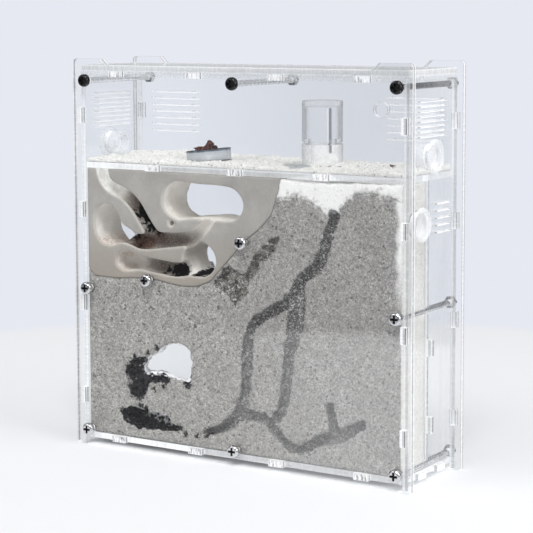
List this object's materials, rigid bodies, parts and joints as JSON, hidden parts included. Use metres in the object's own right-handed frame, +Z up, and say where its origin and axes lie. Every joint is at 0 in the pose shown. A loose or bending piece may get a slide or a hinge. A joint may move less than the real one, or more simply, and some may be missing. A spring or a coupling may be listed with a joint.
{
  "type": "ant habitat",
  "caption": "Upright clear display nest for ants: bolted sheet case with a feeding arena on top and a narrow nest of moulded insert and packed sand below",
  "frame": {"origin": "middle of the underside of the feet, midway between the bolt heads in front and the bolt ends behind", "axes": "+X to the right along the wide front, +Y from the front to the back, +Z up"},
  "size_m": [0.2, 0.0612, 0.2045],
  "materials": {
    "clear_acrylic": "polished, clear",
    "clear_lid": "polished, clear",
    "cast_insert": "smooth cast, matt, stained brown in the tunnels",
    "grey_sand": "fine packed grains",
    "white_sand": "fine loose grains",
    "steel": "bright plated",
    "white_plug": "soft, milky",
    "clear_dish": "moulded, clear",
    "dried_food": "rough, dried",
    "feeder_acrylic": "polished, clear",
    "wick_fibre": "packed fibre"
  },
  "bodies": {
    "case": {"front_panel": "clear_acrylic", "back_panel": "clear_acrylic", "left_wall": "clear_acrylic", "right_wall": "clear_acrylic", "roof_panel": "clear_acrylic", "floor_panel": "clear_acrylic", "arena_floor": "clear_acrylic", "nest_partition": "clear_acrylic", "nest_insert": "cast_insert", "nest_sand": "grey_sand", "pale_nest_sand": "white_sand", "arena_sand": "white_sand", "top_bolts": "steel", "nest_bolts": "steel", "bottom_bolts": "steel", "top_nuts": "steel", "nest_nuts": "steel", "bottom_nuts": "steel", "food_scraps": "dried_food", "feeder_base": "feeder_acrylic", "feeder_sleeve": "feeder_acrylic", "feeder_wick": "wick_fibre"},
    "lid": {"lid": "clear_lid"},
    "left_plug": {"left_arena_plug": "white_plug"},
    "right_plug": {"right_arena_plug": "white_plug"},
    "nest_plug": {"right_nest_plug": "white_plug"},
    "dish": {"feeding_dish": "clear_dish", "food_portion": "dried_food"},
    "bottle": {"feeder_bottle": "feeder_acrylic", "feeder_cap": "feeder_acrylic"}
  },
  "joints": [
    {"name": "lid_lift", "type": "slide", "parent": "case", "child": "lid", "axis": [0, 0, 1], "range_m": [0, 0.06]},
    {"name": "left_plug_pull", "type": "slide", "parent": "case", "child": "left_plug", "axis": [-1, 0, 0], "range_m": [0, 0.03]},
    {"name": "right_plug_pull", "type": "slide", "parent": "case", "child": "right_plug", "axis": [1, 0, 0], "range_m": [0, 0.03]},
    {"name": "nest_plug_pull", "type": "slide", "parent": "case", "child": "nest_plug", "axis": [1, 0, 0], "range_m": [0, 0.03]},
    {"name": "dish_lift", "type": "slide", "parent": "case", "child": "dish", "axis": [0, 0, 1], "range_m": [0, 0.024]},
    {"name": "bottle_lift", "type": "slide", "parent": "case", "child": "bottle", "axis": [0, 0, 1], "range_m": [0, 0.01]}
  ]
}
